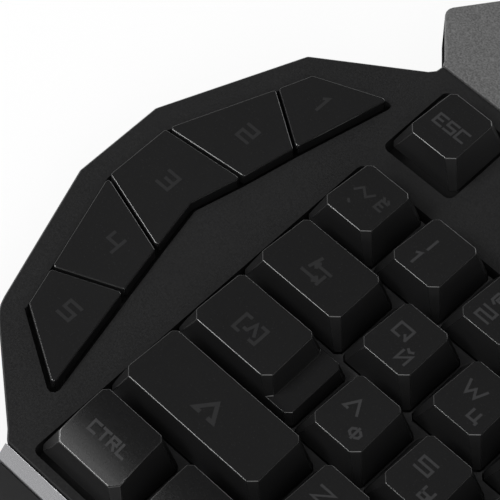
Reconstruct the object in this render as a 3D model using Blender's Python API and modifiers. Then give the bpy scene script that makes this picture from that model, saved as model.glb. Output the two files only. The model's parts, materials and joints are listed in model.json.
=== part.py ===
"""Full-size gaming keyboard with five large macro keys in an arc down its left side.

The deck has a frame of its own: x runs along the key rows from the left edge of the key grid,
y runs from the number row towards the rear, and z is the height above the case top. One empty
tilts the deck onto its flat underside, and a second one puts the middle of the footprint at the
origin. All sizes are in metres.
"""

import math
from collections import namedtuple

import bmesh
import bpy
from mathutils import Matrix, Vector

# Key grid
PITCH = 0.01905
FUNCTION_ROW_SHARE = 1.367
KEY_RISE = 0.0075
FUNCTION_ROW_DROP = 0.0008
SHIFT_ROW_RISE = 0.0009
FUNCTION_SLOPE_SHARE = -0.06
ROW_SLOPE_SHARES = (-0.10, -0.07, 0, 0, 0.18)

# Case outline: the left bulge and the right flank as shares of how far they reach and of the deck's depth
FRONT_BORDER = 0.0025
REAR_BORDER = 0.0047
HOOD_DEPTH = 0.0317
BULGE_REACH = 0.0421
FLANK_REACH = 0.0140
BULGE_SHARES = ((0.126, 0), (0.175, 0.016), (0.703, 0.152), (1, 0.426), (1, 0.6005), (0.6705, 0.8565))
FLANK_SHARES = ((0.38, 0), (1, 0.12), (1, 0.84), (0.60, 0.955))
BULGE_NOTCH_SHARES = (0.088, 0.9935)
FLANK_NOTCH_SHARES = (0.24, 0.991)
SHEET_REAR_SHARES = (0, 1.008)
BULGE_HOOD_SHARES = ((0.367, 0.379), (0.0325, 1))
FLANK_HOOD_SHARES = ((1.08, 0.365), (0.05, 1))
CASE_CORNER = 0.0015
PALM_CORNER = 0.0100
NOTCH_CORNER = 0.0032
HOOD_CORNER = 0.0022
CORNER_STEPS = 3

# Case shells
WALL = 0.0022
SKIRT = 0.0120
EDGE_BEVEL = 0.0005
SEAM = 0.0003
FIT = 0.0003
OVERRUN = 0.002
WELD = 0.000001
FLAT_ANGLE = math.radians(0.5)
TILT = math.radians(4)
BASE_TAPER = 0.0025
FLOOR = 0.0022
RIB = 0.0020
RIB_FRONT_HEIGHT = 0.0011
RIB_COUNT = 8

# Wells in the case top
WELL_GAP = 0.0003
WELL_CORNER = 0.0016
FUNCTION_WELL_GAP = 0.0007
MACRO_GAP = 0.00066
MACRO_CORNER = 0.0007
MACRO_WELL_MARGIN = 0.00075
MACRO_RISE = 0.0020
MACRO_CAP = 0.0034

# Macro keys: corners midway in the gaps, as shares of the bulge's reach and the deck's depth
MACRO_OUTER_SHARES = ((0.549, 0.827), (0.621, 0.765), (0.854, 0.577), (0.856, 0.4465), (0.664, 0.257), (0.594, 0.186))
MACRO_INNER_SHARES = ((0.148, 0.884), (0.287, 0.697), (0.3515, 0.597), (0.361, 0.4015), (0.2995, 0.311), (0.158, 0.107))
MACRO_APEX_SHARES = (0.426, 0.502)

# Keycaps
CAP_HEIGHT = 0.0078
CAP_WALL = 0.0012
CAP_ROOF = 0.0015
CAP_BASE_SIDE = 0.0003
CAP_BASE_END = 0.00105
CAP_BASE_CORNER = 0.0011
CAP_TOP_SIDE = 0.0032
CAP_TOP_FRONT = 0.0029
CAP_TOP_BACK = 0.0018
CAP_FRONT_CORNER = 0.0017
CAP_BACK_CORNER = 0.0010
CAP_BACK_NARROWING = 0.0004
CAPS_STEP = 0.0053
CAPS_LEDGE = 0.0031

# What the keys work on, from the well floor down
GUIDE_PLATE = 0.0020
GUIDE_DEPTH = 0.0029
GUIDE_WALL = 0.0012
PLUNGER_WIDTH = 0.0055
PLUNGER_SLIP = 0.0003
KEY_TRAVEL = 0.0036
PRESS_CLEARANCE = 0.0012
DOME_FLATTENED = 0.0004
DOME_FOOT_RADIUS = 0.0036
DOME_TOP_RADIUS = 0.0022
DOME_SHEET = 0.0008
DOME_SIDES = 6
MEMBRANE = 0.0004
BACKING_PLATE = 0.0008
SHEET_BORDER = 0.0031

# Hood, trim and lights
HOOD_RISE = 0.0004
HOOD_SEAT = 0.0018
LENS_LENGTH = 0.0260
LENS_WIDTH = 0.0034
LENS_CORNER = 0.0014
LENS_RIGHT = 0.0200
TRIM_DEPTH = 0.0027
TRIM_HEIGHT = 0.0058
TRIM_CHAMFER = 0.0026

# Wrist rest: outline shares of its flare and depth, profile shares of its depth and drop
WRIST_DEPTH = 0.0570
WRIST_FLARE = 0.0100
WRIST_DROP = 0.0065
WRIST_WALL = 0.0026
PAD_MARGIN = 0.0017
WRIST_CHAMBERS = 6
WRIST_SIDE_SHARES = ((0, 0), (1, 0.2), (1, 0.72), (0.35, 1))
WRIST_PROFILE_SHARES = ((0, 0), (0.2, 0.03), (0.45, 0.17), (0.7, 0.45), (0.88, 0.80), (0.97, 1.1), (1, 1.35))

# Feet
STAND = 0.0012
PAD_RADIUS = 0.0050
PAD_SINK = 0.0008
PAD_INSET = 0.0090
PAD_SIDES = 12
REAR_PAD_MARGIN = 0.0120
FLIP_INSET = 0.0300
FLIP_WIDTH = 0.0160
FLIP_LENGTH = 0.0240
FLIP_THICKNESS = 0.0036
FLIP_PIN_RADIUS = 0.0010
FLIP_PIN_LENGTH = 0.0015
FLIP_REAR_MARGIN = 0.0120
FINGER_NOTCH = 0.0060
HINGE_SIDES = 12

# Electronics
CABLE_LEFT = 0.1900
BOARD_LENGTH = 0.1150
BOARD_REACH = 0.0750
BOARD_MARGIN = 0.0015
BOARD_THICKNESS = 0.0016
CHIP_SIZE = 0.0090
CHIP_HEIGHT = 0.0014
CHIP_SHARES = (0.30, 0.70)
CONNECTOR_LENGTH = 0.0160
CONNECTOR_HEIGHT = 0.0050
BUSH_MARGIN = 0.0007
BUSH_LIP = 0.0006
BUSH_SLEEVE = 0.0008
BUSH_FLANGE = 0.0012
BUSH_SIDES = 12

# Rows of keys from the rear to the front: a name, then its width and its depth as shares of the pitch
FUNCTION_ROW = (
    "esc gap f1 f2 f3 f4 gap:0.5 f5 f6 f7 f8 gap:0.5 f9 f10 f11 f12 gap:0.25 print scroll pause"
)
MAIN_ROWS = (
    "grave 1 2 3 4 5 6 7 8 9 0 minus equals backspace:2 gap:0.25 insert home page_up"
    " gap:0.25 num_lock divide multiply subtract",
    "tab:1.5 q w e r t y u i o p bracket_left bracket_right backslash:1.5 gap:0.25 delete end page_down"
    " gap:0.25 pad_7 pad_8 pad_9 pad_plus:1:2",
    "caps_lock:1.75 a s d f g h j k l semicolon quote enter:2.25 gap:3.5 pad_4 pad_5 pad_6",
    "shift_left:2.25 z x c v b n m comma period slash shift_right:2.75 gap:1.25 up"
    " gap:1.25 pad_1 pad_2 pad_3 pad_enter:1:2",
    "ctrl_left:1.25 meta_left:1.25 alt_left:1.25 space:6.25 alt_right:1.25 fn:1.25 menu:1.25"
    " ctrl_right:1.25 gap:0.25 left down right gap:0.25 pad_0:2 pad_dot",
)
MOVING_KEYS = (
    "esc grave 1 2 3 4 tab q w e r caps_lock a s d f shift_left z x c v ctrl_left meta_left alt_left"
    " space alt_right ctrl_right shift_right enter backspace up down left right pad_0 pad_plus pad_enter"
).split()

# Key blocks on the grid: left, right, front and rear edges as shares of the pitch
BLOCK_SHARES = ((0, 15, -4.5, 0.5), (15.25, 18.25, -1.5, 0.5), (18.5, 22.5, -4.5, 0.5))
FUNCTION_BLOCK_SHARES = ((0, 1), (2, 6), (6.5, 10.5), (11, 15), (15.25, 18.25))
ARROW_BLOCK_SHARES = (
    (15.25, -4.5), (18.25, -4.5), (18.25, -3.5), (17.25, -3.5), (17.25, -2.5), (16.25, -2.5), (16.25, -3.5), (15.25, -3.5)
)
FRONT_ROW_SHARE = 4.5
REAR_ROW_SHARE = FUNCTION_ROW_SHARE + 0.5

Key = namedtuple("Key", "name x y width depth rise slope")

# Plan: the deck ends just past the front and the rear rows, and the hood begins there
FRONT = -FRONT_ROW_SHARE * PITCH - FRONT_BORDER
HOOD_FRONT = REAR_ROW_SHARE * PITCH + REAR_BORDER
DECK_DEPTH = HOOD_FRONT - FRONT
REAR = HOOD_FRONT + HOOD_DEPTH
GRID_RIGHT = BLOCK_SHARES[-1][1] * PITCH

# Levels: the key stack hangs below the keys at the depth that their travel needs, and rests on the ribs
SKIRT_FOOT = KEY_RISE - CAP_HEIGHT
PLATE_TOP = SKIRT_FOOT - KEY_TRAVEL - PRESS_CLEARANCE
TOP_PLATE = -PLATE_TOP - FIT
DOME_HEIGHT = KEY_TRAVEL + DOME_FLATTENED
PLATE_UNDER = PLATE_TOP - GUIDE_PLATE
GUIDE_FOOT = PLATE_UNDER - GUIDE_DEPTH
PLUNGER_FOOT = GUIDE_FOOT - FIT
DOME_TOP = PLUNGER_FOOT - FIT
SHEET_TOP = DOME_TOP - DOME_HEIGHT
SHEET_UNDER = SHEET_TOP - DOME_SHEET
MEMBRANE_TOP = SHEET_UNDER - FIT
BACKING_TOP = MEMBRANE_TOP - MEMBRANE - FIT
BACKING_UNDER = BACKING_TOP - BACKING_PLATE
RIB_TOP = BACKING_UNDER - FIT
FRONT_HEIGHT = RIB_FRONT_HEIGHT + FLOOR + STAND - RIB_TOP

TRIM_REAR = FRONT - FIT
TRIM_FRONT = TRIM_REAR - TRIM_DEPTH
WRIST_REAR = TRIM_FRONT - FIT
WRIST_FRONT = WRIST_REAR - WRIST_DEPTH
WRIST_NOSE = PAD_INSET + PAD_RADIUS + FIT + PAD_MARGIN

# The cable bush fills the skirt's height below the top plate
BUSH_DROP = (TOP_PLATE + SKIRT) / 2
BUSH_FLANGE_RADIUS = (SKIRT - TOP_PLATE) / 2 - BUSH_MARGIN
BUSH_NECK_RADIUS = BUSH_FLANGE_RADIUS - BUSH_LIP
BUSH_BORE_RADIUS = BUSH_NECK_RADIUS - BUSH_SLEEVE


def floor_height(y):
    """Deck height of the desk under a deck place, which falls away towards the rear."""
    return -FRONT_HEIGHT - (y - FRONT) * math.tan(TILT)


def base_height(y):
    """Deck height of the flat undersides, which the feet hold off the desk."""
    return floor_height(y) + STAND


def bulge(shares):
    """Deck point on the left side."""
    return Vector((-shares[0] * BULGE_REACH, FRONT + shares[1] * DECK_DEPTH))


def flank(shares):
    """Deck point on the right side."""
    return Vector((GRID_RIGHT + shares[0] * FLANK_REACH, FRONT + shares[1] * DECK_DEPTH))


def bulge_hood(shares):
    return Vector((-shares[0] * BULGE_REACH, HOOD_FRONT + shares[1] * HOOD_DEPTH))


def flank_hood(shares):
    return Vector((GRID_RIGHT + shares[0] * FLANK_REACH, HOOD_FRONT + shares[1] * HOOD_DEPTH))


def offset(points, distance):
    """Moves each side of an anticlockwise outline outwards by a distance, inwards where it is negative."""
    moved = []
    for index, corner in enumerate(points):
        before = (corner - points[index - 1]).normalized()
        after = (points[(index + 1) % len(points)] - corner).normalized()
        normals = Vector((before.y, -before.x)), Vector((after.y, -after.x))
        moved.append(corner + (normals[0] + normals[1]) * distance / (1 + normals[0].dot(normals[1])))
    return moved


def rounded(points, radii):
    """Replaces each corner of an outline with an arc of the radius that goes with it."""
    curve = []
    for index, corner in enumerate(points):
        back = (points[index - 1] - corner).normalized()
        ahead = (points[(index + 1) % len(points)] - corner).normalized()
        half_angle = back.angle(ahead) / 2
        radius = radii[index]
        centre = corner + (back + ahead).normalized() * radius / math.sin(half_angle)
        start = corner + back * radius / math.tan(half_angle) - centre
        end = corner + ahead * radius / math.tan(half_angle) - centre
        turn = start.angle_signed(end)
        for step in range(CORNER_STEPS + 1):
            angle = -turn * step / CORNER_STEPS
            curve.append(centre + Matrix.Rotation(angle, 2) @ start)
    return curve


def rectangle(left, right, front, rear):
    return [Vector(point) for point in ((left, front), (right, front), (right, rear), (left, rear))]


def ring(points, height):
    """Lifts an outline to a height, which may be a function of y."""
    return [Vector((point.x, point.y, height(point.y) if callable(height) else height)) for point in points]


def finished(work, name="shape"):
    """Turns a bmesh into a mesh with welded points and outward faces."""
    bmesh.ops.remove_doubles(work, verts=work.verts, dist=WELD)
    bmesh.ops.recalc_face_normals(work, faces=work.faces)
    mesh = bpy.data.meshes.new(name)
    work.to_mesh(mesh)
    work.free()
    return mesh


def joined(name, shapes):
    """One mesh of several closed shapes, which are used up."""
    work = bmesh.new()
    for shape in shapes:
        work.from_mesh(shape)
        bpy.data.meshes.remove(shape)
    return finished(work, name)


def prism(points, low, high):
    """Flat outline extruded up between two heights."""
    curve = bpy.data.curves.new("outline", "CURVE")
    curve.dimensions = "2D"
    curve.fill_mode = "BOTH"
    curve.extrude = (high - low) / 2
    spline = curve.splines.new("POLY")
    spline.points.add(len(points) - 1)
    for knot, point in zip(spline.points, points):
        knot.co = (*point, 0, 1)
    spline.use_cyclic_u = True
    drawing = bpy.data.objects.new("outline", curve)
    drawn = bpy.data.meshes.new_from_object(drawing)
    drawn.transform(Matrix.Translation((0, 0, (low + high) / 2)))
    bpy.data.objects.remove(drawing)
    bpy.data.curves.remove(curve)
    work = bmesh.new()
    work.from_mesh(drawn)
    bpy.data.meshes.remove(drawn)
    bmesh.ops.remove_doubles(work, verts=work.verts, dist=WELD)
    bmesh.ops.dissolve_limit(work, angle_limit=FLAT_ANGLE, verts=work.verts, edges=work.edges)
    return finished(work)


def swept(profile, left, right):
    """Profile of (y, z) points carried along x."""
    shape = prism([Vector(point) for point in profile], left, right)
    shape.transform(Matrix(((0, 0, 1, 0), (1, 0, 0, 0), (0, 1, 0, 0), (0, 0, 0, 1))))
    return shape


def block(left, right, front, rear, low, high):
    """Box between three pairs of planes."""
    size = Matrix.Diagonal((right - left, rear - front, high - low, 1))
    centre = Matrix.Translation(Vector((left + right, front + rear, low + high)) / 2)
    work = bmesh.new()
    bmesh.ops.create_cube(work, size=1, matrix=centre @ size)
    return finished(work)


def cone(foot, top, foot_radius, top_radius, sides):
    """Cone or cylinder from one point to another."""
    foot, top = Vector(foot), Vector(top)
    span = top - foot
    turned = Vector((0, 0, 1)).rotation_difference(span).to_matrix().to_4x4()
    work = bmesh.new()
    bmesh.ops.create_cone(
        work,
        cap_ends=True,
        segments=sides,
        radius1=foot_radius,
        radius2=top_radius,
        depth=span.length,
        matrix=Matrix.Translation((foot + top) / 2) @ turned,
    )
    return finished(work)


def disc(x, y, radius, low, high, sides):
    return cone((x, y, low), (x, y, high), radius, radius, sides)


def loft(rings):
    """Closed shape through a chain of rings with the same number of points."""
    work = bmesh.new()
    loops = [[work.verts.new(point) for point in points] for points in rings]
    count = len(loops[0])
    for upper, lower in zip(loops, loops[1:]):
        for index in range(count):
            after = (index + 1) % count
            work.faces.new((upper[index], lower[index], lower[after], upper[after]))
    work.faces.new(loops[0])
    work.faces.new(loops[-1])
    return finished(work)


def chamfered(shape, height):
    """Takes the sharp edge off a prism at one height."""
    work = bmesh.new()
    work.from_mesh(shape)
    bpy.data.meshes.remove(shape)
    edges = [edge for edge in work.edges if all(abs(vertex.co.z - height) < WELD for vertex in edge.verts)]
    bmesh.ops.bevel(work, geom=edges, offset=EDGE_BEVEL, offset_type="WIDTH", segments=1, affect="EDGES")
    return finished(work)


def shifted(shape, x, y):
    shape.transform(Matrix.Translation((x, y, 0)))
    return shape


def new_collection(name):
    collection = bpy.data.collections.new(name)
    bpy.context.scene.collection.children.link(collection)
    return collection


def new_material(name, colour, roughness, metallic=0):
    material = bpy.data.materials.new(name)
    material.use_nodes = True
    shader = material.node_tree.nodes["Principled BSDF"]
    shader.inputs["Base Color"].default_value = (*colour, 1)
    shader.inputs["Roughness"].default_value = roughness
    shader.inputs["Metallic"].default_value = metallic
    return material


class Model:
    """The collections, the two empties and the materials that the pieces share."""

    def __init__(self):
        self.parts = new_collection("gaming_keyboard")
        self.cutters = new_collection("cutters")
        self.base = self.empty("footprint")
        self.deck = self.empty("deck")
        self.deck.parent = self.base
        self.deck.rotation_euler.x = TILT
        self.deck.location.z = FRONT_HEIGHT * math.cos(TILT) - FRONT * math.sin(TILT)
        self.shell = new_material("shell_black", (0.021, 0.021, 0.022), 0.55)
        self.cap = new_material("keycap_black", (0.015, 0.015, 0.016), 0.5)
        self.hood = new_material("hood_grey", (0.14, 0.14, 0.14), 0.45)
        self.silver = new_material("trim_silver", (0.36, 0.36, 0.36), 0.35, 0.3)
        self.rubber = new_material("rubber_dark", (0.03, 0.03, 0.03), 0.8)
        self.silicone = new_material("silicone_pale", (0.62, 0.62, 0.60), 0.6)
        self.film = new_material("circuit_film", (0.45, 0.5, 0.45), 0.3)
        self.steel = new_material("backing_steel", (0.5, 0.5, 0.5), 0.4, 1)
        self.circuit = new_material("board_green", (0.02, 0.16, 0.06), 0.45)
        self.clear = new_material("lens_smoke", (0.10, 0.10, 0.10), 0.15)

    def empty(self, name):
        empty = bpy.data.objects.new(name, None)
        bpy.context.scene.collection.objects.link(empty)
        return empty

    def solid(self, name, shapes, material, parent=None, origin=(0, 0, 0)):
        """A visible piece made of lofted shapes."""
        made = bpy.data.objects.new(name, joined(name, shapes))
        made.data.materials.append(material)
        made.parent = parent or self.deck
        made.location = origin
        self.parts.objects.link(made)
        return made

    def helper(self, name, shapes, parent=None):
        """A hidden body that a Boolean takes away or adds."""
        made = bpy.data.objects.new(name, joined(name, shapes))
        made.parent = parent or self.deck
        made.hide_render = True
        made.display_type = "WIRE"
        self.cutters.objects.link(made)
        return made

    def combine(self, target, operation, name, shapes, parent=None):
        modifier = target.modifiers.new(name, "BOOLEAN")
        modifier.operation = operation
        modifier.object = self.helper(f"{target.name}_{name}", shapes, parent)

    def cut(self, target, name, shapes, parent=None):
        self.combine(target, "DIFFERENCE", name, shapes, parent)

    def add(self, target, name, shapes, parent=None):
        self.combine(target, "UNION", name, shapes, parent)


def clear_scene():
    for old in list(bpy.data.objects):
        bpy.data.objects.remove(old, do_unlink=True)


def case_outline(distance=0):
    """Outline of the case seen from above, moved outwards by a distance."""
    right = [flank(shares) for shares in FLANK_SHARES] + [flank(FLANK_NOTCH_SHARES)]
    right += [flank_hood(shares) for shares in FLANK_HOOD_SHARES]
    left = [bulge(shares) for shares in BULGE_SHARES] + [bulge(BULGE_NOTCH_SHARES)]
    left += [bulge_hood(shares) for shares in BULGE_HOOD_SHARES]
    radii = [CASE_CORNER] * len(FLANK_SHARES) + [NOTCH_CORNER] + [HOOD_CORNER] * len(FLANK_HOOD_SHARES)
    radii += [HOOD_CORNER] * len(BULGE_HOOD_SHARES) + [NOTCH_CORNER] + bulge_radii()[::-1]
    return rounded(offset(right + left[::-1], distance), radii)


def bulge_radii():
    """Corner radii of the bulge from the front to the rear."""
    radii = [CASE_CORNER] * len(BULGE_SHARES)
    radii[2] = PALM_CORNER
    return radii


def sheet_outline(inset):
    """Outline of a flat piece that lies inside the case under the keys."""
    right = [flank(shares) for shares in FLANK_SHARES] + [flank(SHEET_REAR_SHARES)]
    left = [bulge(shares) for shares in BULGE_SHARES] + [bulge(SHEET_REAR_SHARES)]
    radii = [CASE_CORNER] * (len(right) + 1) + bulge_radii()[::-1]
    return rounded(offset(right + left[::-1], -inset), radii)


def macro_outlines():
    """Outlines of the macro keys between their gaps, and of the well round all of them."""
    outer = [bulge(shares) for shares in MACRO_OUTER_SHARES]
    inner = [bulge(shares) for shares in MACRO_INNER_SHARES]
    apex = bulge(MACRO_APEX_SHARES)
    middle = len(outer) // 2
    keys = []
    for index in range(len(outer) - 1):
        inside = [inner[index + 1], inner[index]]
        if index + 1 == middle:
            inside.insert(1, apex)
        keys.append([outer[index], outer[index + 1], *inside])
    well = outer + inner[middle:][::-1] + [apex] + inner[:middle][::-1]
    return keys, well


def middle_of(points):
    return sum(points, Vector((0, 0))) / len(points)


def key_list():
    """Every key of the grid with its centre, size and profile."""
    rows = [(FUNCTION_ROW, FUNCTION_ROW_SHARE, -FUNCTION_ROW_DROP, FUNCTION_SLOPE_SHARE)]
    for index, text in enumerate(MAIN_ROWS):
        rise = SHIFT_ROW_RISE if text.startswith("shift") else 0
        rows.append((text, -index, rise, ROW_SLOPE_SHARES[index]))
    keys = []
    for text, row, rise, slope in rows:
        left = 0
        for token in text.split():
            name, width, depth = (token.split(":") + ["1", "1"])[:3]
            width, depth = float(width), float(depth)
            if name != "gap":
                x = (left + width / 2) * PITCH
                y = (row - (depth - 1) / 2) * PITCH
                keys.append(Key(name, x, y, width * PITCH, depth * PITCH, rise, slope))
            left += width
    return keys


def cap_outline(key, side, front, back, front_corner, back_corner, narrowing=0):
    """Eight-sided keycap outline about the key's centre, set in from the edges of its cell."""
    half = key.width / 2 - side
    half_back = half - narrowing
    low = -key.depth / 2 + front
    high = key.depth / 2 - back
    right = [(half - front_corner, low), (half, low + front_corner)]
    right += [(half_back, high - back_corner), (half_back - back_corner, high)]
    left = [(-x, y) for x, y in reversed(right)]
    return [Vector(point) for point in right + left]


def cap_top(key, inset=0):
    insets = CAP_TOP_SIDE + inset, CAP_TOP_FRONT + inset, CAP_TOP_BACK + inset
    return cap_outline(key, *insets, CAP_FRONT_CORNER, CAP_BACK_CORNER, CAP_BACK_NARROWING)


def cap_base(key, inset=0):
    insets = CAP_BASE_SIDE + inset, CAP_BASE_END + inset, CAP_BASE_END + inset
    return cap_outline(key, *insets, CAP_BASE_CORNER, CAP_BASE_CORNER)


def plunger_outline():
    """Square plunger with each corner doubled, so that it lofts to an eight-sided cap."""
    half = PLUNGER_WIDTH / 2
    square = rectangle(-half, half, -half, half)
    return [square[side].copy() for side in (1, 1, 2, 2, 3, 3, 0, 0)]


def plunger_at(centre, extra=0):
    half = PLUNGER_WIDTH / 2 + extra
    return centre.x - half, centre.x + half, centre.y - half, centre.y + half


def top_height(key, drop=0):
    """Height of the key's sloping top, as a function of y about its centre."""
    return lambda y: KEY_RISE + key.rise + key.slope * y - drop


def hollow_cap(key):
    """A moulded cap from its top, over the rim, up inside and down the plunger."""
    return loft(
        [
            ring(cap_top(key), top_height(key)),
            ring(cap_base(key), SKIRT_FOOT),
            ring(cap_base(key, CAP_WALL), SKIRT_FOOT),
            ring(cap_top(key, CAP_WALL), top_height(key, CAP_ROOF)),
            ring(plunger_outline(), top_height(key, CAP_ROOF)),
            ring(plunger_outline(), PLUNGER_FOOT),
        ]
    )


def fixed_cap(key):
    """A plainer cap whose plunger is one with the guide plate."""
    rings = [
        ring(cap_top(key), top_height(key)),
        ring(cap_base(key), SKIRT_FOOT),
        ring(plunger_outline(), SKIRT_FOOT),
        ring(plunger_outline(), PLATE_TOP - GUIDE_PLATE / 2),
    ]
    return shifted(loft(rings), key.x, key.y)


def level(upper, lower, height):
    """Ring at one height on the sloping sides between two rings."""
    points = []
    for high, low in zip(upper, lower):
        points.append(low.lerp(high, (height - low.z) / (high.z - low.z)))
    return points


def stepped_cap(model, key):
    """Caps lock: a narrow cap with a low ledge along its right side."""
    narrow = key._replace(width=key.width - CAPS_STEP)
    aside = key.x - CAPS_STEP / 2
    ledge_top = SKIRT_FOOT + CAPS_LEDGE
    low = SKIRT_FOOT - OVERRUN
    rim = ring(cap_base(key), SKIRT_FOOT)
    ledge = [level(ring(cap_top(key), top_height(key)), rim, ledge_top), rim]
    hollow = [ring(offset([point.to_2d() for point in ledge[0]], -CAP_WALL), ledge_top - CAP_WALL)]
    hollow.append(ring(cap_base(key, CAP_WALL), low))
    body = [ring(cap_top(narrow), top_height(narrow)), ring(cap_base(narrow), SKIRT_FOOT)]
    inside = [ring(cap_top(narrow, CAP_WALL), top_height(narrow, CAP_ROOF)), ring(cap_base(narrow, CAP_WALL), low)]
    cap = model.solid(f"key_{key.name}", [shifted(loft(body), aside - key.x, 0)], model.cap, origin=(key.x, key.y, 0))
    model.add(cap, "ledge", [shifted(loft(ledge), key.x, key.y)])
    model.cut(cap, "ledge_hollow", [shifted(loft(hollow), key.x, key.y)])
    model.cut(cap, "hollow", [shifted(loft(inside), aside, key.y)])
    model.add(cap, "plunger", [block(*plunger_at(key), PLUNGER_FOOT, KEY_RISE - CAP_ROOF / 2)])


def make_keys(model, keys):
    """The keys that travel, each with its origin on its own slide axis."""
    for key in keys:
        if key.name == "caps_lock":
            stepped_cap(model, key)
        elif key.name in MOVING_KEYS:
            model.solid(f"key_{key.name}", [hollow_cap(key)], model.cap, origin=(key.x, key.y, 0))


def make_macro_keys(model, outlines):
    """The five large flat keys, each a plate with rounded corners on a plunger."""
    for number, outline in enumerate(outlines, 1):
        centre = middle_of(outline)
        edge = offset([point - centre for point in outline], -MACRO_GAP / 2)
        plate = prism(rounded(edge, [MACRO_CORNER] * len(edge)), MACRO_RISE - MACRO_CAP, MACRO_RISE)
        cap = model.solid(f"key_macro_{number}", [plate], model.cap, origin=(centre.x, centre.y, 0))
        model.add(cap, "plunger", [block(*plunger_at(centre), PLUNGER_FOOT, MACRO_RISE - MACRO_CAP / 2)])


def make_top_case(model, macro_well):
    """Black upper shell with its key wells, its macro well and a seat for the hood."""
    body = chamfered(prism(case_outline(), -SKIRT, 0), 0)
    case = model.solid("top_case", [body], model.shell)
    model.cut(case, "inside", [prism(case_outline(-WALL), -SKIRT - OVERRUN, -TOP_PLATE)])
    sides = -BULGE_REACH, GRID_RIGHT + BULGE_REACH
    model.cut(case, "hood_seat", [block(*sides, HOOD_FRONT, REAR + OVERRUN, -HOOD_SEAT, OVERRUN)])
    wells = [[Vector(corner) * PITCH for corner in ARROW_BLOCK_SHARES]]
    for left, right, front, rear in BLOCK_SHARES:
        wells.append(rectangle(left * PITCH, right * PITCH, front * PITCH, rear * PITCH))
    row = FUNCTION_ROW_SHARE * PITCH
    half_row = PITCH / 2 + FUNCTION_WELL_GAP - WELL_GAP
    for left, right in FUNCTION_BLOCK_SHARES:
        wells.append(rectangle(left * PITCH, right * PITCH, row - half_row, row + half_row))
    shapes = []
    for well in wells:
        outline = rounded(offset(well, WELL_GAP), [WELL_CORNER] * len(well))
        shapes.append(prism(outline, -TOP_PLATE - OVERRUN, OVERRUN))
    edge = offset(macro_well, MACRO_WELL_MARGIN)
    corner = MACRO_CORNER + MACRO_WELL_MARGIN
    shapes.append(prism(rounded(edge, [corner] * len(edge)), -TOP_PLATE - OVERRUN, OVERRUN))
    model.cut(case, "wells", shapes)
    ends = (CABLE_LEFT, REAR - WALL - OVERRUN, -BUSH_DROP), (CABLE_LEFT, REAR + OVERRUN, -BUSH_DROP)
    radius = BUSH_NECK_RADIUS + FIT
    model.cut(case, "cable_hole", [cone(*ends, radius, radius, BUSH_SIDES)])


def make_bottom_case(model):
    """Wedge-shaped tub with ribs under the key stack and pockets for the flip feet."""
    rim = -SKIRT - SEAM
    body = loft([ring(case_outline(), rim), ring(case_outline(-BASE_TAPER), base_height)])
    case = model.solid("bottom_case", [body], model.shell)
    floor = ring(case_outline(-WALL - BASE_TAPER), lambda y: base_height(y) + FLOOR)
    inside = loft([ring(case_outline(-WALL), rim + OVERRUN), ring(case_outline(-WALL), rim), floor])
    model.cut(case, "inside", [inside])
    front, rear = FRONT + BASE_TAPER + WALL, REAR - BASE_TAPER - WALL
    profile = [(front, base_height(front) + FLOOR / 2), (rear, base_height(rear) + FLOOR / 2)]
    profile += [(rear, RIB_TOP), (front, RIB_TOP)]
    ribs = []
    for index in range(RIB_COUNT):
        x = GRID_RIGHT * (index + 0.5) / RIB_COUNT
        ribs.append(swept(profile, x - RIB / 2, x + RIB / 2))
    model.add(case, "ribs", ribs)
    add_foot_pockets(model, case)
    add_pad_seats(model, case, rear_pads())


def add_foot_pockets(model, case):
    """Pockets in the floor for the flip feet, with a hole for each hinge pin."""
    housings, pockets, holes = [], [], []
    front, rear = flip_hinge_y() - FLIP_LENGTH - FINGER_NOTCH, flip_hinge_y() + FLIP_THICKNESS / 2 + FIT
    ceiling = flip_hinge_z() + FLIP_THICKNESS / 2 + FIT
    for x in flip_sides():
        half = FLIP_WIDTH / 2 + FIT
        reach = half + FLIP_PIN_LENGTH + FIT
        thick = reach + WALL
        housing = x - thick, x + thick, front - WALL, rear + WALL
        housings.append(block(*housing, STAND + FLOOR / 2, ceiling + WALL))
        pockets.append(block(x - half, x + half, front, rear, -OVERRUN, ceiling))
        ends = (x - reach, flip_hinge_y(), flip_hinge_z()), (x + reach, flip_hinge_y(), flip_hinge_z())
        radius = FLIP_PIN_RADIUS + FIT
        holes.append(cone(*ends, radius, radius, HINGE_SIDES))
    model.add(case, "foot_housings", housings, model.base)
    model.cut(case, "foot_pockets", pockets, model.base)
    model.cut(case, "foot_pin_holes", holes, model.base)


def add_pad_seats(model, target, places):
    seats = [disc(x, y, PAD_RADIUS + FIT, -OVERRUN, STAND + PAD_SINK, PAD_SIDES) for x, y in places]
    model.cut(target, "pad_seats", seats, model.base)


def flip_sides():
    return FLIP_INSET, GRID_RIGHT - FLIP_INSET


def flip_hinge_y():
    return REAR - FLIP_REAR_MARGIN


def flip_hinge_z():
    return STAND + FIT + FLIP_THICKNESS / 2


def rear_pads():
    y = REAR - REAR_PAD_MARGIN - PAD_RADIUS
    return (0, y), (GRID_RIGHT, y)


def front_pads():
    y = WRIST_FRONT + PAD_INSET
    return (0, y), (GRID_RIGHT, y)


def make_flip_feet(model):
    """Two feet that fold into the underside, each with its origin on its hinge."""
    half = FLIP_THICKNESS / 2
    for name, x in zip(("left", "right"), flip_sides()):
        origin = x, flip_hinge_y(), flip_hinge_z()
        leaf = block(-FLIP_WIDTH / 2, FLIP_WIDTH / 2, -FLIP_LENGTH, 0, -half, half)
        foot = model.solid(f"flip_foot_{name}", [leaf], model.shell, model.base, origin)
        ends = (x - FLIP_WIDTH / 2, *origin[1:]), (x + FLIP_WIDTH / 2, *origin[1:])
        model.add(foot, "knuckle", [cone(*ends, half, half, HINGE_SIDES)], model.base)
        reach = FLIP_WIDTH / 2 + FLIP_PIN_LENGTH
        ends = (x - reach, *origin[1:]), (x + reach, *origin[1:])
        model.add(foot, "pin", [cone(*ends, FLIP_PIN_RADIUS, FLIP_PIN_RADIUS, HINGE_SIDES)], model.base)


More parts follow.
